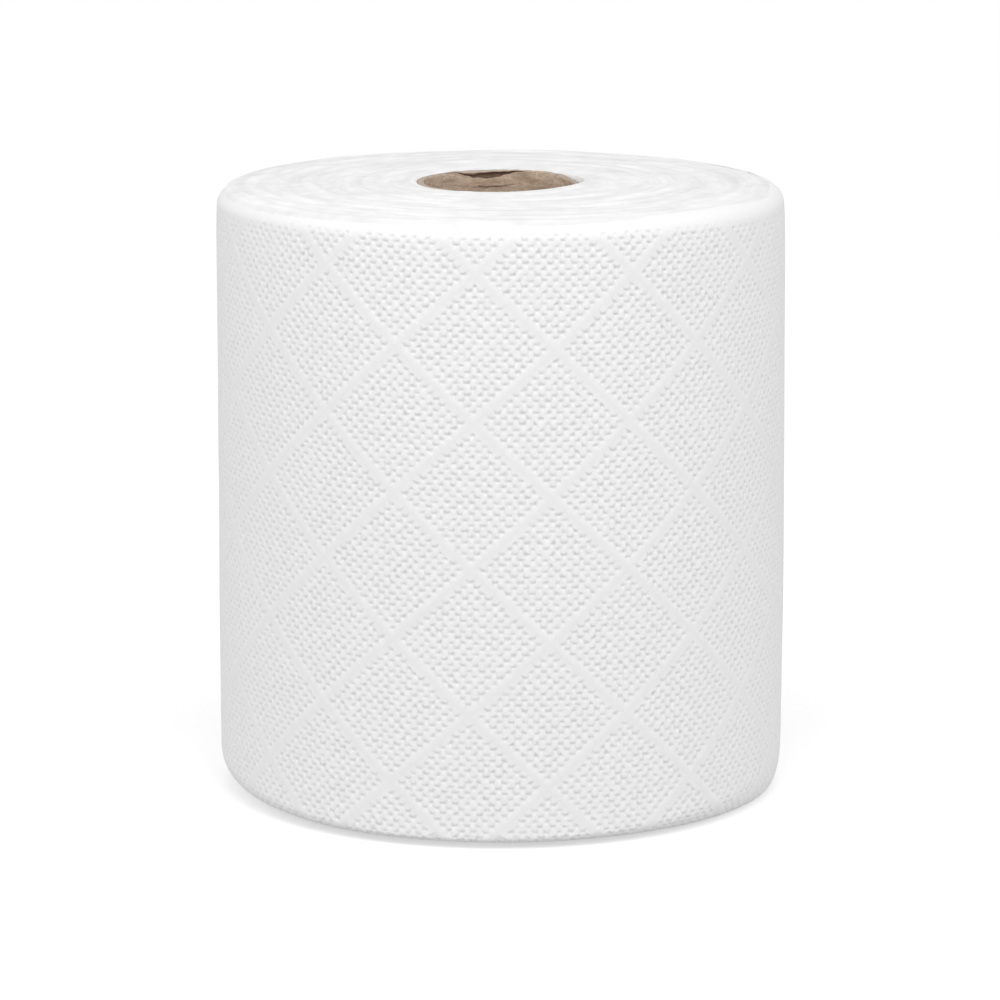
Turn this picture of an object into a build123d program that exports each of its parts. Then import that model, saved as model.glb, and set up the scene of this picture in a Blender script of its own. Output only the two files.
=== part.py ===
"""Embossed paper towel roll wound on a paperboard core, in millimetres.

The roll stands on its base. The origin is the centre of the base, +Z runs up the core's axis, -Y is the
front, and the tail, the free edge of the last turn, is on the right (+X). The wound web is one solid, and
the core another.
"""

import os

from build123d import *

# Driving dimensions
roll_diameter = 200.0
roll_height = 216.0
web_thickness = 0.3  # one sheet of two embossed plies, as wound
rim_width = 14.0  # the upper outer edge is slumped: this far in from the side
rim_drop = 7.0  # and this far down
base_edge_radius = 12.8  # the lower edge is pressed round by the roll's own weight
core_outer_diameter = 58.6
core_wall = 2.0
tail_angle = 20.0  # degrees round from +X to the tail

# Derived dimensions
roll_radius = roll_diameter / 2
core_outer_radius = core_outer_diameter / 2
core_inner_radius = core_outer_radius - core_wall
blank_radius = core_outer_radius / 2  # where the section starts, inside what the bore removes

os.makedirs("parts", exist_ok=True)


# Wound web. Its outside is one turn of a spiral, made of two half turns whose axes are half a web apart.
# They share one section opposite the tail, and at the tail they end in a step one web high.
section_plane = Plane.XZ.rotated((0, 0, tail_angle - 180))
with BuildPart() as paper_roll:
    with BuildSketch(section_plane) as half_section:
        with BuildLine():
            side_foot = (roll_radius - base_edge_radius, base_edge_radius)
            side_head = (roll_radius - rim_width, roll_height - rim_drop)
            base_edge = CenterArc(side_foot, base_edge_radius, -90, 90)
            rim = EllipticalCenterArc(side_head, rim_width, rim_drop, 0, arc_size=90)
            Line(base_edge @ 1, rim @ 0)
            Polyline(rim @ 1, (blank_radius, roll_height), (blank_radius, 0), base_edge @ 0)
        make_face()
    inner_half_centre = section_plane.x_dir * (web_thickness / 2)
    revolve(half_section.sketch, axis=Axis.Z, revolution_arc=180)
    revolve(half_section.sketch, axis=Axis(inner_half_centre, (0, 0, 1)), revolution_arc=-180)
    Hole(radius=core_outer_radius)  # the first turn lies on the core
paper_roll.part.label = "paper_roll"

# Spiral-wound paperboard core, cut flush with the web at both ends.
with BuildPart() as core_tube:
    with BuildSketch():
        Circle(radius=core_outer_radius)
        Circle(radius=core_inner_radius, mode=Mode.SUBTRACT)
    extrude(amount=roll_height)
core_tube.part.label = "core_tube"

for piece in (paper_roll.part, core_tube.part):
    export_step(piece, f"parts/{piece.label}.step")
    low, high = piece.bounding_box().min, piece.bounding_box().max
    print(piece.label, round(piece.volume), [round(x, 2) for x in (*low, *high)])
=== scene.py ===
"""Finish of an embossed paper towel roll: dimpled outer sheets, wound end faces and a paperboard core.

Everything is in metres, in the part's own frame: +Z up the core, -Y the front and the tail on the right.
A place on the web is given by "along", the distance round the roll from the front's centre line to the
right, and "up", the distance along the core from the base. Turns are angles round the roll in the same
sense, so the front is 0, the right side is a quarter turn and the left side is minus a quarter turn.
"""

import math

import bpy
import numpy as np
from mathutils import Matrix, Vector
from mathutils.geometry import delaunay_2d_cdt


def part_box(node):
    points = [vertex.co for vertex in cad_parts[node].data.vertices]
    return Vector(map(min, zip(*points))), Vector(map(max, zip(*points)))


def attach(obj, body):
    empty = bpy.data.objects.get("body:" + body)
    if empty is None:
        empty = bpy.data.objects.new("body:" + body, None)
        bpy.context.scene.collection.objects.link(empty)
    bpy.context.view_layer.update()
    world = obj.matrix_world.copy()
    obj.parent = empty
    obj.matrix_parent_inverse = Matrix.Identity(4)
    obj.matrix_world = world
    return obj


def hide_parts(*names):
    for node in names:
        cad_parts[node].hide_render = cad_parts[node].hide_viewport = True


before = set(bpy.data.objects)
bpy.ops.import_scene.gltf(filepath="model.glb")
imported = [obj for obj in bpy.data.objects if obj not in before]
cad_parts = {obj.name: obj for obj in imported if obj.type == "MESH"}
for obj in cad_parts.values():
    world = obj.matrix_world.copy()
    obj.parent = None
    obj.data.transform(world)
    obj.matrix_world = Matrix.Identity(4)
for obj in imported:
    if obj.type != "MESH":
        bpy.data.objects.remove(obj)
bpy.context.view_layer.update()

MM = 0.001
FULL_TURN = 2 * math.pi
random = np.random.default_rng(12)
LEFT, RIGHT, BACK_LEFT = -math.pi / 2, math.pi / 2, math.radians(-171)

# The roll, from the frame
roll_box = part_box("paper_roll")
core_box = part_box("core_tube")
ROLL_RADIUS = roll_box[1].x
ROLL_TOP = roll_box[1].z - 0.2 * MM  # the paper at the core
HOLE_RADIUS = core_box[1].x

# The last turn's outline
SLUMP = 1.5 * MM  # how much lower the end face is at the outside than at the core
END_LEAN = 0.005  # the front of the end face stands this much higher, for each metre from the axis
RIM_WIDTH = 8.3 * MM  # the soft upper edge: this far in from the side
RIM_DROP = 6.1 * MM  # and this far down
RIM_START = ROLL_RADIUS - RIM_WIDTH
SIDE_TOP = ROLL_TOP - SLUMP * (RIM_START / ROLL_RADIUS) ** 2 - RIM_DROP
SHOULDER = 0.35 * MM  # below the rim the side still leans in by this much
SHOULDER_FADE = 4.0 * MM  # and swells out to its full width over about this height
BASE_EDGE_WIDTH = 12.9 * MM  # the lower edge, pressed round by the weight: this far in under the base
BASE_EDGE_HEIGHT = 9.4 * MM  # and this far up the side
SIDE_SWELL = 0.5 * MM  # how far the side bulges where it sags most

# Sheets
WEB_THICKNESS = 0.3 * MM
SHEET_LENGTH = 350 * MM
TAIL_ALONG = math.radians(110) * ROLL_RADIUS
PERFORATION_ALONG = TAIL_ALONG - SHEET_LENGTH
PERFORATION_DEPTH = 0.28 * MM
TAB_PITCH = 5.0 * MM
TUCKED_ALONG = TAIL_ALONG - FULL_TURN * ROLL_RADIUS - 6 * MM  # under the tail
TAIL_LIFT = 0.7 * MM
SKIN_DEPTH = 0.9 * MM  # the sheet's hidden face, kept clear of the dimples
UPPER_LIP = SIDE_TOP + 9.5 * MM  # the sheet's hem, round the rim
LOWER_LIP = -17.0 * MM  # and its hem under the base

# Embossing: dimples in staggered rows, with every thirteenth diagonal line left plain
ROW_PITCH = 4.195 * MM  # from one dimple to the next in a row
ROW_RISE = 1.932 * MM  # and from one row to the next
ROW_TILT = math.radians(-0.86)
PLAIN_LINE = 13
PLAIN_CROSSING = (-9.95 * MM, 96.8 * MM)  # where two plain lines cross, along and up
DIMPLES_FROM = -10.0 * MM
DIMPLES_TO = SIDE_TOP + 5.0 * MM
DIMPLE_DEPTH = 0.49 * MM
SIDE_DIMPLES = 0.64  # the dimples' depth on the roll's left and right, where they are rubbed flatter
DIMPLE_REACH = 0.67 * MM  # half height of a dimple, where its wall is steepest
DIMPLE_STRETCH = 1.22  # wider than high
# The rings of points that shape a dimple: radius, points, and painted shade, which is below 0 where it is a
# painted highlight between the dimples
DIMPLE_RINGS = ((0.52 * MM, 6, 0.15), (1.10 * MM, 4, -0.50))

# Wound end faces
RIPPLE = 0.21 * MM  # how unevenly the turns end
FINE_RIPPLE = 0.012 * MM
LOWER_RIPPLE = 0.07 * MM
# Beside the core the turns stand proud on the front right, and have sunk on the front left
PROUD_TURN, PROUD = math.radians(60), 0.8 * MM
SUNKEN_TURN, SUNKEN = math.radians(-58), 0.25 * MM
FOLD_WIDTH = 2.1 * MM
# Soft folds that cross the turns where the roll has been squeezed: both ends, from the axis, and height
END_FOLDS = (
    ((-88, 12), (-58, 58), 0.48),
    ((-85, -17), (-62, 3), 0.52),
    ((-76, -34), (-48, -14), 0.39),
    ((-94, 2), (-74, 36), 0.39),
    ((-70, 8), (-38, 40), 0.33),
    ((62, 30), (84, 2), 0.33),
    ((52, -44), (80, -26), 0.29),
    ((20, 66), (52, 52), 0.29),
)

# Core
CORE_GAP = 0.12 * MM  # the glue line round the tube
CORE_WALL = 1.6 * MM
CORE_DENT = 1.8 * MM  # how far the tube is pushed in on the right
DENT_FADE = 14 * MM
SUNK_TURN, SUNK = math.radians(106), 1.3 * MM  # where the rim has sunk, and by how much
LEDGE = 1.5 * MM  # how far the rim is crushed inwards at the back
FLAP_TURN = math.radians(-158)  # where a flap of it hangs down
SPLAY = 0.5 * MM  # how much the rim spreads on the left
LINER_WALL = 0.4 * MM  # the innermost ply, which is coming away
LINER_PEEL = 0.3 * MM  # how far it stands off on the left
TORN_TURN, TORN_OFF = math.radians(-172), 1.35 * MM  # where a strip of its top edge is torn off
CREASE_DROP = 3.85 * MM  # a crease across it, below the crushed rim
CREASE_STEP = 0.6 * MM

# Finishes
PAPER_WHITE = 0.845
# The paper's grey at full painted shade in a dimple; the same mix gives the painted highlight between
# dimples
PAINTED_SHADE_GREY = 0.77
# Dark, light and flecks of the liner, and of the rougher stock behind it, its brown darkened as painted
# shade under the crushed rim and the torn liner
LINER_TONES = (0.42, 0.31, 0.23, 1), (0.77, 0.63, 0.51, 1), (0.36, 0.26, 0.18, 1)
PAINTED_SHADE_STOCK_TONES = (0.20, 0.13, 0.09, 1), (0.36, 0.25, 0.19, 1), (0.16, 0.10, 0.07, 1)
BOARD_CUT = (0.455, 0.385, 0.325, 1)

# Studio
FLOOR_REACH = 12.0
FLOOR_SHADE = 0.34  # how much of the light the floor sends back up
FLOOR_GLOW = 0.29  # and how much it gives of its own, like a light table
SEEN_FLOOR_SHADE = 0.815  # the camera sees a whiter one
SEEN_FLOOR_GLOW = 0.33
SKY_LEVEL = 0.645
SEEN_SKY_LEVEL = 1.05
# The two keys shine from both sides of the front, the overhead lamp from in front of the top
KEY_TURN, KEY_TILT, KEY_SPREAD = math.radians(60), math.radians(74), math.radians(80)
KEY_POWER = 0.86
OVERHEAD_PLACE = (0, -0.45, ROLL_TOP + 0.6)
OVERHEAD_TILT = math.radians(36.9)
OVERHEAD_POWER = 2.15
VIEW_DISTANCE = 1.84
VIEW_PITCH = math.radians(11.25)
VIEW_AIM = (-0.1 * MM, 0, ROLL_TOP / 2 - 6.6 * MM)
LENS = 186.84


def smooth_step(low, high, value):
    """0 on the low side, 1 on the high side and an easy curve between them."""
    t = np.clip((value - low) / (high - low), 0, 1)
    return t * t * (3 - 2 * t)


def beside(turns, place, spread):
    """1 at a place round the axis, falling off to 0 over the spread."""
    away = np.mod(turns - place + math.pi, FULL_TURN) - math.pi
    return np.exp(-(away / spread) ** 2)


# ---------------------------------------------------------------- shape of the roll

def end_height(radius):
    """Height of the upper end face, crowned at the core and rounded off at the rim."""
    crown = ROLL_TOP - SLUMP * (np.minimum(radius, RIM_START) / ROLL_RADIUS) ** 2
    over = np.clip((radius - RIM_START) / RIM_WIDTH, 0, 1)
    return crown - RIM_DROP * (1 - np.sqrt(1 - over ** 2))


def leaned(radius, turn, height):
    """Height once the end face leans: the front stands slightly higher than the back."""
    return height + END_LEAN * radius * np.cos(turn) * (height / ROLL_TOP) ** 4


def spiral_radius(along):
    """Outer radius of the web, one thickness less for each turn inward from the tail."""
    return ROLL_RADIUS - WEB_THICKNESS * (TAIL_ALONG - along) / (FULL_TURN * ROLL_RADIUS)


def quarter_round(length, width, height):
    """Angle turned after a length along a quarter ellipse that starts upright, and what is left over."""
    steps = np.linspace(0, math.pi / 2, 49)
    middles = (steps[1:] + steps[:-1]) / 2
    runs = np.hypot(width[:, None] * np.sin(middles), height[:, None] * np.cos(middles)) * steps[1]
    reached = np.concatenate([np.zeros((len(width), 1)), np.cumsum(runs, 1)], 1)
    whole = np.minimum((reached[:, 1:] < length[:, None]).sum(1), len(middles) - 1)[:, None]
    before = np.take_along_axis(reached, whole, 1)[:, 0]
    run = np.take_along_axis(runs, whole, 1)[:, 0]
    part = np.clip((length - before) / run, 0, 1)
    return (whole[:, 0] + part) * steps[1], np.clip(length - reached[:, -1], 0, None)


def base_edge(turn):
    """Width and height of the lower edge: low and wide at the front and back, and wider on the left."""
    width = BASE_EDGE_WIDTH - 5.1 * MM * np.sin(turn) + 3.6 * MM * np.cos(2 * turn)
    height = BASE_EDGE_HEIGHT + 0.9 * MM * np.sin(turn) - 5.3 * MM * np.cos(2 * turn)
    height = height - 1.8 * MM * np.sin(2 * turn) ** 2
    return width, height


def base_rise(radius, turn):
    """How far above the floor the lower edge is at a radius."""
    width, height = base_edge(turn)
    inward = np.clip((ROLL_RADIUS - radius) / width, 0, 1)
    return height * (1 - np.sqrt(1 - (1 - inward) ** 2))


def outline(along, up):
    """Radius, height and lean of the last turn. Lean is how far its face looks up, or down if negative."""
    turn = along / ROLL_RADIUS
    rim_width = RIM_WIDTH * (1 - 0.22 * np.sin(turn))  # narrower on the right
    rim_height = np.full_like(turn, RIM_DROP)
    base_width, base_height = base_edge(turn)
    rim_angle, over = quarter_round(up - SIDE_TOP, rim_width, rim_height)
    base_angle, under = quarter_round(base_height - up, base_width, base_height)
    sag = np.sin(math.pi * (1 - np.clip(up / ROLL_TOP, 0, 1)) ** 1.6)
    swell = SIDE_SWELL * (1 + 0.8 * np.sin(turn)) * sag
    shoulder = SHOULDER * np.exp(-np.clip(SIDE_TOP - up, 0, None) / SHOULDER_FADE)
    radius = spiral_radius(along) + swell - shoulder - over - under
    radius = radius - rim_width * (1 - np.cos(rim_angle)) - base_width * (1 - np.cos(base_angle))
    height = np.clip(up, base_height, SIDE_TOP)
    height = height + rim_height * np.sin(rim_angle) - base_height * np.sin(base_angle)
    lean = np.arctan2(rim_width * np.sin(rim_angle), rim_height * np.cos(rim_angle))
    lean = lean + shoulder / SHOULDER_FADE * np.cos(rim_angle) ** 2
    lean = lean - np.arctan2(base_width * np.sin(base_angle), base_height * np.cos(base_angle))
    return radius, leaned(radius, turn, height), lean


def softness(along, up):
    """How far the soft roll's side gives inwards, in long shallow waves."""
    turn = along / ROLL_RADIUS
    waves = 0.08 * np.sin(3 * turn + 38 * up + 0.7) + 0.05 * np.sin(5 * turn - 61 * up + 2.1)
    waves = waves + 0.04 * np.sin(9 * turn + 27 * up + 4.0) + 0.03 * np.sin(2 * turn + 110 * up)
    return MM * (0.2 + waves)


def perforation(along, up):
    """Depth of the slit line between two sheets, which small tabs bridge."""
    tab = np.exp(-((np.mod(up, TAB_PITCH) - TAB_PITCH / 2) / (0.5 * MM)) ** 2)
    line = np.exp(-((along - PERFORATION_ALONG) / (0.35 * MM)) ** 2)
    return PERFORATION_DEPTH * line * (1 - 0.6 * tab)


def tail_lift(along, up):
    """How far the free edge of the last turn stands off the roll."""
    wave = 0.65 + 0.25 * np.sin(47 * up + 1.0) + 0.10 * np.sin(131 * up)
    pressed_down = smooth_step(-2 * MM, 10 * MM, up)
    return TAIL_LIFT * wave * pressed_down * np.exp((along - TAIL_ALONG) / (9 * MM))


def relief(along, up):
    """How far everything but the dimples presses the web in."""
    return softness(along, up) + perforation(along, up) - tail_lift(along, up)


def web_surface(along, up, depth, slope_along, slope_up):
    """Points and normals of the web, pushed in by depth, whose slopes are given, and by the relief."""
    step = 0.05 * MM
    depth = depth + relief(along, up)
    slope_along = slope_along + (relief(along + step, up) - relief(along - step, up)) / (2 * step)
    slope_up = slope_up + (relief(along, up + step) - relief(along, up - step)) / (2 * step)
    radius, height, lean = outline(along, up)
    turn = along / ROLL_RADIUS
    out = np.stack([np.sin(turn) * np.cos(lean), -np.cos(turn) * np.cos(lean), np.sin(lean)], 1)
    around = np.stack([np.cos(turn), np.sin(turn), np.zeros_like(turn)], 1)
    rising = np.stack([-np.sin(turn) * np.sin(lean), np.cos(turn) * np.sin(lean), np.cos(lean)], 1)
    points = np.stack([radius * np.sin(turn), -radius * np.cos(turn), height], 1) - out * depth[:, None]
    normals = out + around * slope_along[:, None] + rising * slope_up[:, None]
    return points, normals / np.linalg.norm(normals, axis=1, keepdims=True)


# ---------------------------------------------------------------- embossing

def embossing_sites(start, end):
    """Along, up and whether it is plain, for each place in the dimple lattice between a sheet's ends."""
    tilt_cos, tilt_sin = math.cos(ROW_TILT), math.sin(ROW_TILT)
    reach = int((end - start) / ROW_PITCH) + int(ROLL_TOP / ROW_RISE) + 60
    diagonal_a, diagonal_b = np.meshgrid(np.arange(-reach, reach), np.arange(-reach, reach))
    across = (diagonal_a - diagonal_b).ravel() * ROW_PITCH / 2
    rise = (diagonal_a + diagonal_b).ravel() * ROW_RISE
    along = PLAIN_CROSSING[0] + across * tilt_cos - rise * tilt_sin
    up = PLAIN_CROSSING[1] + across * tilt_sin + rise * tilt_cos
    plain = (diagonal_a.ravel() % PLAIN_LINE == 0) | (diagonal_b.ravel() % PLAIN_LINE == 0)
    margin = 1.6 * MM
    inside = (along > start + margin) & (along < end - margin) & (up > DIMPLES_FROM) & (up < DIMPLES_TO)
    return along[inside], up[inside], plain[inside]


def dimples(along, up):
    """Points that shape a dimple at each site: along, up, depth, slope along, slope up and painted shade,
    below 0 for a painted highlight.
    """
    count = len(along)
    along = along + random.normal(0, 0.11 * MM, count)
    up = up + random.normal(0, 0.09 * MM, count)
    depth = DIMPLE_DEPTH * np.clip(random.normal(1, 0.17, count), 0.5, 1.4)
    low_edge = 4.5 * MM * np.sin(along / ROLL_RADIUS) ** 2  # rubbed flat a little further down at the sides
    depth = depth * smooth_step(DIMPLES_TO + 1 * MM, DIMPLES_TO - 5.5 * MM, up + low_edge)
    depth = depth * smooth_step(DIMPLES_FROM - 1 * MM, DIMPLES_FROM + 4 * MM, up)
    rubbed = smooth_step(0.58, 0.95, np.abs(np.sin(along / ROLL_RADIUS)))
    depth = depth * (1 - (1 - SIDE_DIMPLES) * rubbed)
    stretch = DIMPLE_STRETCH * random.uniform(0.85, 1.15, count)
    reach = DIMPLE_REACH * random.uniform(0.93, 1.06, count)
    # The centre point carries the strongest painted shade, in step with the dimple's depth
    rows = [(along, up, depth, 0 * depth, 0 * depth, depth / DIMPLE_DEPTH)]
    for radius, corners, painted_dimple_shade in DIMPLE_RINGS:
        fall = depth * np.exp(-(radius / reach) ** 3)
        slope = -3 * radius ** 2 / reach ** 3 * fall
        for corner in range(corners):
            angle = math.pi / 2 + FULL_TURN * corner / corners + random.normal(0, 0.15, count)
            across, rise = np.cos(angle), np.sin(angle)
            rows.append((along + radius * stretch * across, up + radius * rise,
                         fall, slope * across / stretch, slope * rise, painted_dimple_shade * depth / DIMPLE_DEPTH))
    return [np.concatenate(column) for column in zip(*rows)]


# ---------------------------------------------------------------- sheets

def hem_path(start, end):
    """Along and up of the points round a sheet's four edges, anticlockwise from the lower start corner."""
    long_steps = round((end - start) / (2.6 * MM))
    high_steps = round((UPPER_LIP - LOWER_LIP) / (0.9 * MM))
    sweep = np.linspace(start, end, long_steps, endpoint=False)
    climb = np.linspace(LOWER_LIP, UPPER_LIP, high_steps, endpoint=False)
    drop = UPPER_LIP + LOWER_LIP - climb
    along = [sweep, np.full(high_steps, end), end + start - sweep, np.full(high_steps, start)]
    up = [np.full(long_steps, LOWER_LIP), climb, np.full(long_steps, UPPER_LIP), drop]
    return np.concatenate(along), np.concatenate(up)


def grid_rows(start, end, ups, step):
    """Staggered rows of plain points at the given heights."""
    along, up = [], []
    for row, height in enumerate(ups):
        places = np.arange(start + step * (0.5 + 0.5 * (row % 2)), end - 0.4 * step, step)
        along.append(places)
        up.append(np.full(len(places), height))
    return np.concatenate(along), np.concatenate(up)


def triangles(along, up):
    """Triangles between points of the flat web, anticlockwise, as point numbers."""
    flat = [Vector((a, u)) for a, u in zip(along / MM, up / MM)]
    _, _, faces, origin, _, _ = delaunay_2d_cdt(flat, [], [], 0, 1e-5)
    source = [numbers[0] for numbers in origin]
    return np.array([[source[corner] for corner in face] for face in faces])


def sheet(name, start, end):
    """One sheet of the web as a thin closed skin: dimpled outside, plain inside."""
    hem_along, hem_up = hem_path(start, end)
    hem = len(hem_along)
    site_along, site_up, plain = embossing_sites(start, end)
    dots = dimples(site_along[~plain], site_up[~plain])
    rim = grid_rows(start, end, np.arange(DIMPLES_TO + 1.2 * MM, UPPER_LIP - 0.4 * MM, 0.8 * MM), 3 * MM)
    foot = grid_rows(start, end, np.arange(LOWER_LIP + 1.5 * MM, DIMPLES_FROM - 1.2 * MM, 1.5 * MM), 3 * MM)
    seam_ups = np.arange(LOWER_LIP + 1 * MM, UPPER_LIP - 0.8 * MM, 0.9 * MM)
    seam_in = 0.45 * MM
    seams = (np.repeat([start + seam_in, end - seam_in], len(seam_ups)), np.tile(seam_ups, 2))
    along = np.concatenate([hem_along, dots[0], site_along[plain], rim[0], foot[0], seams[0]])
    up = np.concatenate([hem_up, dots[1], site_up[plain], rim[1], foot[1], seams[1]])
    lead, trail = np.zeros(hem), np.zeros(len(along) - hem - len(dots[0]))
    depth, slope_along, slope_up = [np.concatenate([lead, dots[i], trail]) for i in (2, 3, 4)]
    outer, outer_normals = web_surface(along, up, depth, slope_along, slope_up)
    outer_faces = triangles(along, up)

    # The hidden inner skin hangs from the same hem
    inside = grid_rows(start, end, np.arange(LOWER_LIP + 6 * MM, UPPER_LIP - 4 * MM, 8 * MM), 6 * MM)
    along, up = np.concatenate([hem_along, inside[0]]), np.concatenate([hem_up, inside[1]])
    depth = np.full(len(along), SKIN_DEPTH)
    depth[:hem] = WEB_THICKNESS
    level = np.zeros(len(along))
    inner, inner_normals = web_surface(along, up, depth, level, level)
    inner_faces = triangles(along, up)[:, ::-1] + len(outer)

    # The cut edge joins the two
    first = np.arange(hem)
    second = np.roll(first, -1)
    edge_faces = np.concatenate([
        np.stack([first, first + len(outer), second], 1),
        np.stack([second, first + len(outer), second + len(outer)], 1),
    ])
    piece = mesh_piece(name, np.concatenate([outer, inner]),
                       np.concatenate([outer_faces, inner_faces, edge_faces]))
    shade_smooth(piece, np.concatenate([outer_normals, -inner_normals]))

    # Painted shade in the dimples, and painted highlight between them, at each point, for the paper's
    # colour
    painted_dimple_shade = np.zeros(len(outer) + len(inner))
    painted_dimple_shade[hem:hem + len(dots[0])] = dots[5]
    piece.data.attributes.new("painted_dimple_shade", "FLOAT", "POINT").data.foreach_set("value", painted_dimple_shade)
    return piece


# ---------------------------------------------------------------- meshes

def mesh_piece(name, points, faces):
    """An object in the scene, from its points and from faces given as point numbers."""
    mesh = bpy.data.meshes.new(name)
    mesh.from_pydata([tuple(point) for point in points.tolist()], [], faces.tolist())
    mesh.update()
    piece = bpy.data.objects.new(name, mesh)
    bpy.context.scene.collection.objects.link(piece)
    return piece


def shade_smooth(piece, normals=None):
    """Smooth shading, from the points' own normals where they are given."""
    mesh = piece.data
    mesh.polygons.foreach_set("use_smooth", np.ones(len(mesh.polygons), bool))
    if normals is not None:
        mesh.normals_split_custom_set_from_vertices([tuple(normal) for normal in normals.tolist()])


def lathed(name, turns, radius, height):
    """A closed ring of material from loops of points round its section, given as arrays of loop by turn."""
    loops, columns = radius.shape
    points = np.stack([radius * np.sin(turns), -radius * np.cos(turns), height], 2).reshape(-1, 3)
    here = np.arange(loops)[:, None] * columns
    above = (np.arange(1, loops + 1) % loops)[:, None] * columns
    column = np.arange(columns)[None, :]
    following = (column + 1) % columns
    corners = [here + column, here + following, above + following, above + column]
    faces = np.stack(corners, 2).reshape(-1, 4)
    piece = mesh_piece(name, points, faces)
    shade_smooth(piece)
    return piece


def all_round(columns):
    """The turns at which a lathed ring has its columns."""
    return np.linspace(0, FULL_TURN, columns, endpoint=False)[None, :]


# ---------------------------------------------------------------- wound end faces

def turn_ripples(radius, turns, seed, components=24, shortest=3.6 * MM, longest=16 * MM):
    """Uneven ends of the turns: many long thin waves that run nearly round the roll, from -1 to 1 or so."""
    pick = np.random.default_rng(seed)
    ripples = np.zeros_like(radius + turns)
    for _ in range(components):
        wave = pick.uniform(shortest, longest)
        winds = pick.integers(-5, 6)
        wander = pick.uniform(0.6, 2.2) * np.sin(turns * pick.integers(2, 8) + pick.uniform(0, FULL_TURN))
        fade = 0.5 + 0.5 * np.sin(turns * pick.integers(1, 4) + pick.uniform(0, FULL_TURN))
        phase = FULL_TURN * radius / wave + winds * turns + wander + pick.uniform(0, FULL_TURN)
        ripples += np.sin(phase) * fade
    return ripples / math.sqrt(components / 5)


def end_folds(radius, turns):
    """How high the soft folds stand: nothing at both ends, and highest half way."""
    x, y = radius * np.sin(turns), -radius * np.cos(turns)
    height = np.zeros_like(x)
    for start, end, fold in END_FOLDS:
        run = np.subtract(end, start) * MM
        length = np.hypot(*run)
        run = run / length
        reach = (x - start[0] * MM) * run[0] + (y - start[1] * MM) * run[1]
        aside = (x - start[0] * MM) * run[1] - (y - start[1] * MM) * run[0]
        part = np.clip(reach / length, 0, 1)
        height += fold * MM * np.sin(math.pi * part) ** 2 * np.exp(-(aside / FOLD_WIDTH) ** 2)
    return height


def wound_turns():
    """The turns under the last one: a closed ring with both end faces rippled."""
    turns = all_round(540)
    lip_radius = ROLL_RADIUS - 4.6 * MM  # where the last turn's hem lies
    outside = ROLL_RADIUS - 2.5 * MM
    radii = np.concatenate([
        HOLE_RADIUS + np.array([0.0, 0.15, 0.45, 0.9]) * MM,
        np.arange(HOLE_RADIUS + 1.6 * MM, outside - 1 * MM, 0.88 * MM),
        [outside - 0.5 * MM, outside],
    ])[:, None]
    hole_edge = 0.4 * MM * np.exp(-(radii - HOLE_RADIUS) / (0.35 * MM))
    calm = smooth_step(HOLE_RADIUS, HOLE_RADIUS + 2 * MM, radii)
    calm = calm * smooth_step(lip_radius + 1 * MM, lip_radius - 3 * MM, radii)
    tuck = 0.1 * MM + 1.1 * MM * smooth_step(lip_radius + 0.5 * MM, outside, radii)
    ripples = RIPPLE * turn_ripples(radii, turns, 3)
    ripples = ripples + FINE_RIPPLE * turn_ripples(radii, turns, 4, 12, 1.8 * MM, 2.6 * MM)
    pushed = PROUD * beside(turns, PROUD_TURN, 0.75) - SUNKEN * beside(turns, SUNKEN_TURN, 0.4)
    pushed = pushed * np.exp(-(radii - HOLE_RADIUS) / (6 * MM))
    upper = leaned(radii, turns, end_height(radii) - hole_edge - tuck) + pushed
    upper = upper + calm * (ripples + end_folds(radii, turns))
    lower = hole_edge + 0.35 * MM + LOWER_RIPPLE * calm * turn_ripples(radii, turns, 8)
    lower = np.clip(lower, 0.1 * MM, None) + base_rise(radii + 1.6 * MM, turns)
    wall_heights = np.linspace(0.95, 0.06, 8)[:, None] * ROLL_TOP
    wall_radius = np.full_like(wall_heights, outside)
    hole_radius = np.full_like(wall_heights, HOLE_RADIUS)
    wide = np.ones_like(turns)
    radius = np.concatenate([radii[::-1], hole_radius, radii, wall_radius]) * wide
    height = np.concatenate([upper[::-1], wall_heights * wide, lower, wall_heights[::-1] * wide])
    return lathed("wound_turns", turns, radius, height)


# ---------------------------------------------------------------- core

def ragged(turns, seed, waves, finest):
    """Random wander round a torn or worn edge, from -1 to 1 or so."""
    pick = np.random.default_rng(seed)
    wander = np.zeros_like(turns)
    for _ in range(waves):
        times = pick.integers(3, finest)
        wander += np.sin(times * turns + pick.uniform(0, FULL_TURN)) / times ** 0.5
    return wander / 1.6


def core_dent(turns, drop):
    """How far the tube is pushed in: a dent on the right that fades out down the bore."""
    return CORE_DENT * beside(turns, RIGHT, 0.38) * np.exp(-drop / DENT_FADE)


def rim_drop(turns):
    """How far the tube's worn rim is below the paper: tucked under at the front, sunk on the right."""
    worn = MM * (0.42 + 0.22 * np.cos(turns) + 0.16 * ragged(turns, 21, 16, 60))
    return worn + SUNK * beside(turns, SUNK_TURN, 0.40)


def ledge_droop(turns):
    """How far the crushed rim hangs down into the bore at the back."""
    hang = 0.85 * beside(turns, BACK_LEFT, 0.42) + 0.80 * beside(turns, FLAP_TURN, 0.13)
    return MM * hang * (1 + 0.30 * ragged(turns, 27, 14, 70))


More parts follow.
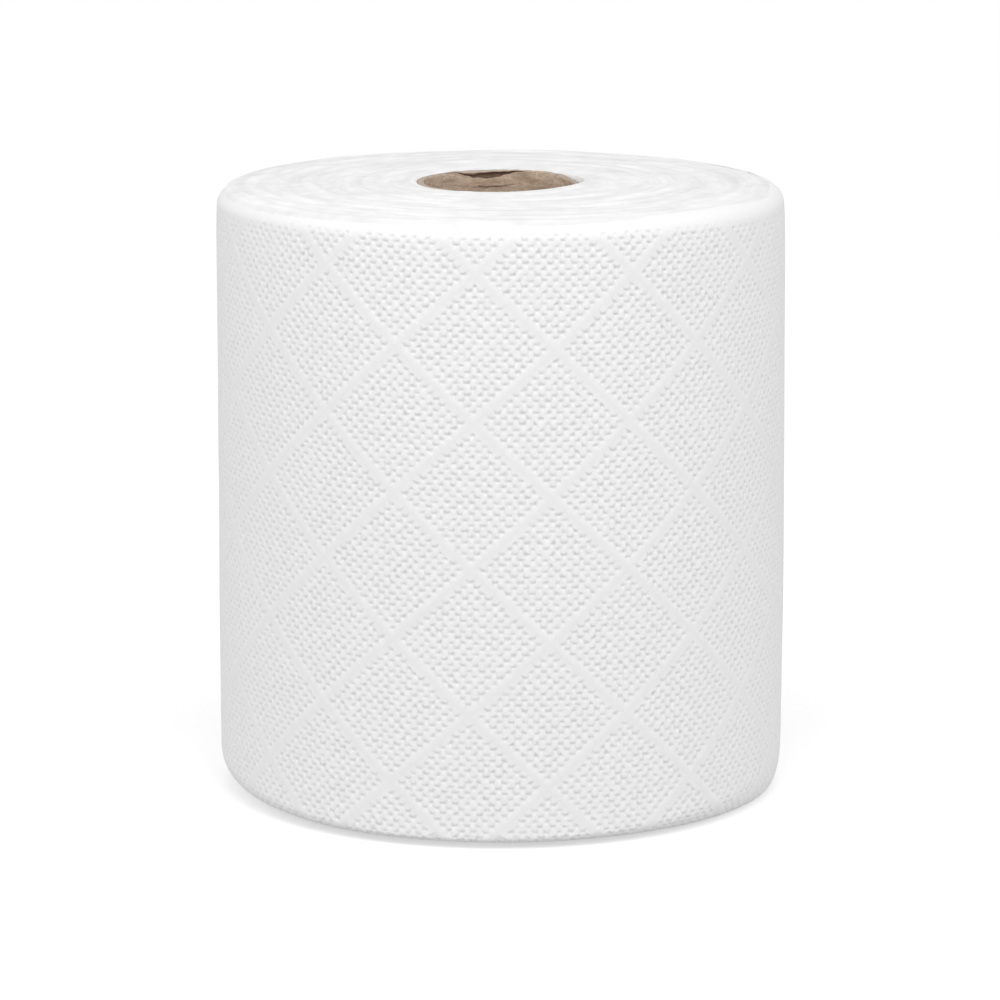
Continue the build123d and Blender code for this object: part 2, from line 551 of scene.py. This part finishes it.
def core_board():
    """The paperboard tube: dented on the right, and its rim crushed inwards at the back."""
    turns = all_round(480)
    down = np.concatenate([np.arange(0.25, 4, 0.25), np.geomspace(4.4, 196, 22)])[:, None] * MM
    outer = HOLE_RADIUS - CORE_GAP
    rim = ROLL_TOP - rim_drop(turns)
    ledge = LEDGE * beside(turns, BACK_LEFT, 0.42) * (1 + 0.25 * ragged(turns, 22, 9, 30))
    droop = ledge_droop(turns)
    tucked = ledge * np.exp(-(down / (0.22 * MM)) ** 2)
    splay = SPLAY * beside(turns, LEFT, 0.4)
    corner = np.array([0.10, 0.35, 0.70, 0.95])[:, None]
    corner_drop = np.array([0.12, 0.0, 0.0, 0.12])[:, None] * MM
    foot = np.array([0.9, 0.5, 0.1])[:, None]
    foot_height = np.array([0.30, 0.18, 0.30])[:, None] * MM
    wide = np.ones_like(turns)
    radius = np.concatenate([
        outer - core_dent(turns, down)[::-1],
        outer - core_dent(turns, 0) - corner * (CORE_WALL + ledge + splay),
        outer - core_dent(turns, down) - CORE_WALL - tucked - splay * np.exp(-down / (3 * MM)),
        (outer - foot * CORE_WALL) * wide,
    ])
    height = np.concatenate([
        rim - down[::-1],
        rim - corner_drop - droop * corner ** 1.5,
        rim - droop - down,
        foot_height * wide,
    ])
    return lathed("core_board", turns, radius, height)


def core_liner():
    """The innermost ply: its top edge is torn, and starts under the crushed rim at the back."""
    turns = all_round(480)
    down = np.concatenate([np.arange(0, 7.5, 0.25), np.geomspace(8, 190, 16)])[:, None] * MM
    peel = LINER_PEEL * beside(turns, LEFT, 0.5)
    torn_off = TORN_OFF * beside(turns, TORN_TURN, 0.22)
    torn = MM * (0.18 + 0.65 * beside(turns, BACK_LEFT, 0.36) + 0.14 * ragged(turns, 23, 14, 60))
    torn = torn + torn_off + ledge_droop(turns)
    top = ROLL_TOP - rim_drop(turns) - np.clip(torn, 0.05 * MM, None)
    curl = peel * np.exp(-down / (2.6 * MM)) * (1 + 0.15 * ragged(turns, 24, 8, 24))
    crease = beside(turns, TORN_TURN, 0.24)
    crease_drop = CREASE_DROP - torn_off + 0.35 * MM * ragged(turns, 25, 8, 24)
    step = CREASE_STEP * crease * smooth_step(crease_drop + 0.35 * MM, crease_drop, down)
    waver = 0.06 * MM * ragged(turns, 26, 10, 30) * np.exp(-down / (20 * MM))
    glued_face = HOLE_RADIUS - CORE_GAP - CORE_WALL - core_dent(turns, down) - curl - step + waver
    radius = np.concatenate([
        glued_face[1::3][::-1],
        glued_face[:1] - 0.06 * MM,
        glued_face[:1] - LINER_WALL + 0.08 * MM,
        glued_face - LINER_WALL,
    ])
    height = np.concatenate([
        top - down[1::3][::-1],
        top + 0.05 * MM,
        top + 0.02 * MM,
        top - down - 0.12 * MM,
    ])
    return lathed("core_liner", turns, radius, height)


# ---------------------------------------------------------------- materials

def new_material(name, roughness, specular):
    """A material, its nodes and its shader, with the values that are the same all over it."""
    material = bpy.data.materials.new(name)
    material.use_nodes = True
    shader = material.node_tree.nodes["Principled BSDF"]
    shader.inputs["Roughness"].default_value = roughness
    shader.inputs["Specular IOR Level"].default_value = specular
    return material, material.node_tree, shader


def add_node(tree, kind, links=None, values=None, **settings):
    """A new node with its properties, the values of its sockets, and what is linked to them."""
    made = tree.nodes.new(kind)
    for key, setting in settings.items():
        setattr(made, key, setting)
    for key, value in (values or {}).items():
        made.inputs[key].default_value = value
    for key, source in (links or {}).items():
        tree.links.new(source, made.inputs[key])
    return made


def math_node(tree, operation, *terms):
    """The result of a math node on numbers or sockets."""
    made = tree.nodes.new("ShaderNodeMath")
    made.operation = operation
    for place, term in enumerate(terms):
        if isinstance(term, (int, float)):
            made.inputs[place].default_value = term
        else:
            tree.links.new(term, made.inputs[place])
    return made.outputs[0]


def mixed_colour(tree, factor, first, second):
    """Colour between two colours or colour sockets."""
    made = add_node(tree, "ShaderNodeMix", data_type="RGBA")
    for place, term in ((0, factor), (6, first), (7, second)):
        if isinstance(term, bpy.types.NodeSocket):
            tree.links.new(term, made.inputs[place])
        else:
            made.inputs[place].default_value = term
    return made.outputs[2]


def sharpened(tree, value, low, high):
    """A value spread out so that low becomes 0 and high becomes 1."""
    spread = add_node(tree, "ShaderNodeMapRange", {"Value": value},
                      {"From Min": low, "From Max": high, "To Min": 0.0, "To Max": 1.0})
    return spread.outputs[0]


def grey(level):
    return (level, level, level, 1)


def new_group(name, inputs, outputs):
    """A node group with named sockets: numbers, apart from Place, which is a vector."""
    group = bpy.data.node_groups.new(name, "ShaderNodeTree")
    for socket in inputs:
        kind = "NodeSocketVector" if socket == "Place" else "NodeSocketFloat"
        group.interface.new_socket(socket, in_out="INPUT", socket_type=kind)
    for socket in outputs:
        group.interface.new_socket(socket, in_out="OUTPUT", socket_type="NodeSocketFloat")
    return group, group.nodes.new("NodeGroupInput").outputs, group.nodes.new("NodeGroupOutput").inputs


def paper_fibres():
    """Group: the cloudy formation of a paper web and its fine crossing fibres, both from 0 to 1."""
    sizes = "Cloud Size", "Fibre Size"
    group, given, result = new_group("paper fibres", ("Place", *sizes), ("Clouds", "Fibres"))
    cloud_scale = math_node(group, "DIVIDE", 1.0, given["Cloud Size"])
    clouds = add_node(group, "ShaderNodeTexNoise", {"Vector": given["Place"], "Scale": cloud_scale},
                      {"Detail": 3.0, "Roughness": 0.55})
    fibre_scale = math_node(group, "DIVIDE", 1.0, given["Fibre Size"])
    fibres = add_node(group, "ShaderNodeTexNoise", {"Vector": given["Place"], "Scale": fibre_scale},
                      {"Detail": 2.0, "Roughness": 0.6, "Distortion": 1.2})
    group.links.new(clouds.outputs["Fac"], result["Clouds"])
    group.links.new(fibres.outputs["Fac"], result["Fibres"])
    return group


def turn_streaks():
    """Group: streaks that run round the roll, from the uneven ends of its turns, from 0 to 1."""
    sizes = "Streak Width", "Streak Length"
    group, given, result = new_group("turn streaks", ("Place", *sizes), ("Streaks",))
    parts = add_node(group, "ShaderNodeSeparateXYZ", {"Vector": given["Place"]}).outputs
    squared = math_node(group, "ADD", math_node(group, "MULTIPLY", parts["X"], parts["X"]),
                        math_node(group, "MULTIPLY", parts["Y"], parts["Y"]))
    radius = math_node(group, "SQRT", squared)
    turn = math_node(group, "ARCTAN2", parts["Y"], parts["X"])
    # The angle becomes a place on a circle, so that the streaks join up all the way round
    bends = math_node(group, "DIVIDE", 1.0, given["Streak Length"])
    place = add_node(group, "ShaderNodeCombineXYZ", {
        "X": math_node(group, "DIVIDE", radius, given["Streak Width"]),
        "Y": math_node(group, "MULTIPLY", math_node(group, "COSINE", turn), bends),
        "Z": math_node(group, "MULTIPLY", math_node(group, "SINE", turn), bends),
    })
    noise = add_node(group, "ShaderNodeTexNoise", {"Vector": place.outputs[0]},
                     {"Scale": 1.0, "Detail": 3.0, "Roughness": 0.6, "Distortion": 0.4})
    group.links.new(noise.outputs["Fac"], result["Streaks"])
    return group


FIBRES, STREAKS = paper_fibres(), turn_streaks()


def placed_group(tree, group, place, values):
    """The outputs of a group that is placed in a material with its own values."""
    return add_node(tree, "ShaderNodeGroup", {"Place": place}, values, node_tree=group).outputs


def add_bump(tree, shader, height, strength, distance):
    """Fine relief from a height, fed to the shader's normal."""
    values = {"Strength": strength, "Distance": distance}
    bump = add_node(tree, "ShaderNodeBump", {"Height": height}, values)
    tree.links.new(bump.outputs["Normal"], shader.inputs["Normal"])


def towel_paper():
    """White creped tissue: faint clouds in the web, a fine fibre grain, painted shade in the dimples and a
    painted highlight between them.
    """
    material, tree, shader = new_material("embossed towel paper", 0.92, 0.12)
    place = add_node(tree, "ShaderNodeTexCoord").outputs["Object"]
    fibres = placed_group(tree, FIBRES, place, {"Cloud Size": 3.2 * MM, "Fibre Size": 0.35 * MM})
    shade = mixed_colour(tree, fibres["Clouds"], grey(PAPER_WHITE - 0.02), grey(PAPER_WHITE + 0.02))
    # Painted shade in the dimples and painted highlight between them, from the points' attribute: below 0
    # the mix runs past the paper's white
    painted_dimple_shade = add_node(tree, "ShaderNodeAttribute", attribute_name="painted_dimple_shade").outputs["Fac"]
    colour = add_node(tree, "ShaderNodeMix", {0: painted_dimple_shade, 6: shade}, {7: grey(PAINTED_SHADE_GREY)},
                      data_type="RGBA", clamp_factor=False)
    tree.links.new(colour.outputs[2], shader.inputs["Base Color"])
    add_bump(tree, shader, fibres["Fibres"], 0.25, 0.05 * MM)
    return material


def turn_edges():
    """The cut ends of the turns: the same paper, streaked round the roll, partly in the plies' own tone and
    partly as painted shade between unevenly standing turns.
    """
    material, tree, shader = new_material("cut ends of the turns", 0.95, 0.08)
    place = add_node(tree, "ShaderNodeTexCoord").outputs["Object"]
    fibres = placed_group(tree, FIBRES, place, {"Cloud Size": 9 * MM, "Fibre Size": 0.5 * MM})
    broad = placed_group(tree, STREAKS, place, {"Streak Width": 4.5 * MM, "Streak Length": 0.6})
    fine = placed_group(tree, STREAKS, place, {"Streak Width": 0.5 * MM, "Streak Length": 0.35})
    both = math_node(tree, "ADD", math_node(tree, "MULTIPLY", broad["Streaks"], 0.6),
                     math_node(tree, "MULTIPLY", fibres["Clouds"], 0.4))
    # The darker streaks are partly the plies' own tone and partly painted shade between the turns
    shade = sharpened(tree, both, 0.36, 0.62)
    colour = mixed_colour(tree, shade, grey(PAPER_WHITE - 0.10), grey(PAPER_WHITE + 0.025))
    tree.links.new(colour, shader.inputs["Base Color"])
    height = math_node(tree, "ADD", math_node(tree, "MULTIPLY", fine["Streaks"], 0.7),
                       math_node(tree, "MULTIPLY", fibres["Fibres"], 0.3))
    add_bump(tree, shader, height, 0.22, 0.12 * MM)
    return material


def board(name, dark, light, fleck):
    """Recycled paperboard: mottled grey brown, fibrous, and paler where it is cut."""
    material, tree, shader = new_material(name, 0.88, 0.2)
    place = add_node(tree, "ShaderNodeTexCoord").outputs["Object"]
    squeezed = add_node(tree, "ShaderNodeVectorMath", {0: place}, {1: (1, 1, 3.5)}, operation="MULTIPLY")
    sizes = {"Cloud Size": 7 * MM, "Fibre Size": 0.9 * MM}
    mottle = placed_group(tree, FIBRES, squeezed.outputs[0], sizes)
    body = mixed_colour(tree, sharpened(tree, mottle["Clouds"], 0.35, 0.65), dark, light)
    flecked = mixed_colour(tree, sharpened(tree, mottle["Fibres"], 0.30, 0.62), fleck, body)
    normal = add_node(tree, "ShaderNodeNewGeometry").outputs["Normal"]
    facing = add_node(tree, "ShaderNodeSeparateXYZ", {"Vector": normal}).outputs
    cut = sharpened(tree, facing["Z"], 0.55, 0.85)
    colour = mixed_colour(tree, cut, flecked, BOARD_CUT)
    tree.links.new(colour, shader.inputs["Base Color"])
    add_bump(tree, shader, mottle["Fibres"], 0.5, 0.15 * MM)
    return material


# ---------------------------------------------------------------- studio

def studio_floor():
    """A pale light table, which doesn't throw so much light up that it fills the dimples."""
    corners = np.array([[-1, -1, 0], [1, -1, 0], [1, 1, 0], [-1, 1, 0]]) * FLOOR_REACH
    floor = mesh_piece("floor", corners, np.array([[0, 1, 2, 3]]))
    material, tree, shader = new_material("studio floor", 1.0, 0.0)
    seen = add_node(tree, "ShaderNodeLightPath").outputs["Is Camera Ray"]
    shade = mixed_colour(tree, seen, grey(FLOOR_SHADE), grey(SEEN_FLOOR_SHADE))
    glow = mixed_colour(tree, seen, grey(FLOOR_GLOW), grey(SEEN_FLOOR_GLOW))
    tree.links.new(shade, shader.inputs["Base Color"])
    tree.links.new(glow, shader.inputs["Emission Color"])
    shader.inputs["Emission Strength"].default_value = 1.0
    floor.data.materials.append(material)


def studio_sky():
    """An even pale surround, white to the camera."""
    world = bpy.data.worlds.new("studio")
    bpy.context.scene.world = world
    world.use_nodes = True
    tree = world.node_tree
    seen = add_node(tree, "ShaderNodeLightPath").outputs["Is Camera Ray"]
    level = mixed_colour(tree, seen, grey(SKY_LEVEL), grey(SEEN_SKY_LEVEL))
    tree.links.new(level, tree.nodes["Background"].inputs["Color"])


def add_lamp(name, kind, location, rotation, **settings):
    lamp = bpy.data.lights.new(name, kind)
    for key, setting in settings.items():
        setattr(lamp, key, setting)
    light = bpy.data.objects.new(name, lamp)
    light.location = location
    light.rotation_euler = rotation
    bpy.context.scene.collection.objects.link(light)


def studio():
    """Soft light from above and from both sides of the front, and the camera."""
    scene = bpy.context.scene
    scene.view_settings.view_transform = "Standard"
    studio_floor()
    studio_sky()
    for name, turn in (("key_left", -KEY_TURN), ("key_right", KEY_TURN)):
        add_lamp(name, "SUN", (0, 0, 2), (KEY_TILT, 0, turn), energy=KEY_POWER, angle=KEY_SPREAD)
    add_lamp("overhead", "AREA", OVERHEAD_PLACE, (OVERHEAD_TILT, 0, 0), energy=OVERHEAD_POWER, size=0.6)

    middle = Vector((0, 0, ROLL_TOP / 2))
    back_off = Vector((0, -math.cos(VIEW_PITCH), math.sin(VIEW_PITCH)))
    camera = bpy.data.objects.new("camera", bpy.data.cameras.new("camera"))
    camera.data.sensor_width = 36
    camera.data.lens = LENS
    camera.data.clip_end = 100
    camera.location = middle + VIEW_DISTANCE * back_off
    camera.rotation_euler = (Vector(VIEW_AIM) - camera.location).to_track_quat("-Z", "Y").to_euler()
    scene.collection.objects.link(camera)
    scene.camera = camera


# ---------------------------------------------------------------- the part

studio()
paper, ends = towel_paper(), turn_edges()
# The board behind the liner takes the darker tones: painted shade under the crushed rim
liner_board, painted_shade_stock = board("core paperboard", *LINER_TONES), board("core stock in painted shade", *PAINTED_SHADE_STOCK_TONES)
pieces = (
    (sheet("front_sheet", PERFORATION_ALONG, TAIL_ALONG), paper, "paper_roll", "towel_paper"),
    (sheet("back_sheet", TUCKED_ALONG, PERFORATION_ALONG), paper, "paper_roll", "towel_paper"),
    (wound_turns(), ends, "paper_roll", "towel_paper"),
    (core_board(), painted_shade_stock, "core_tube", "core_board"),
    (core_liner(), liner_board, "core_tube", "core_board"),
)
for piece, finish, node, slot in pieces:
    piece.data.materials.append(finish)
    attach(piece, "root")
    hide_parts(node)
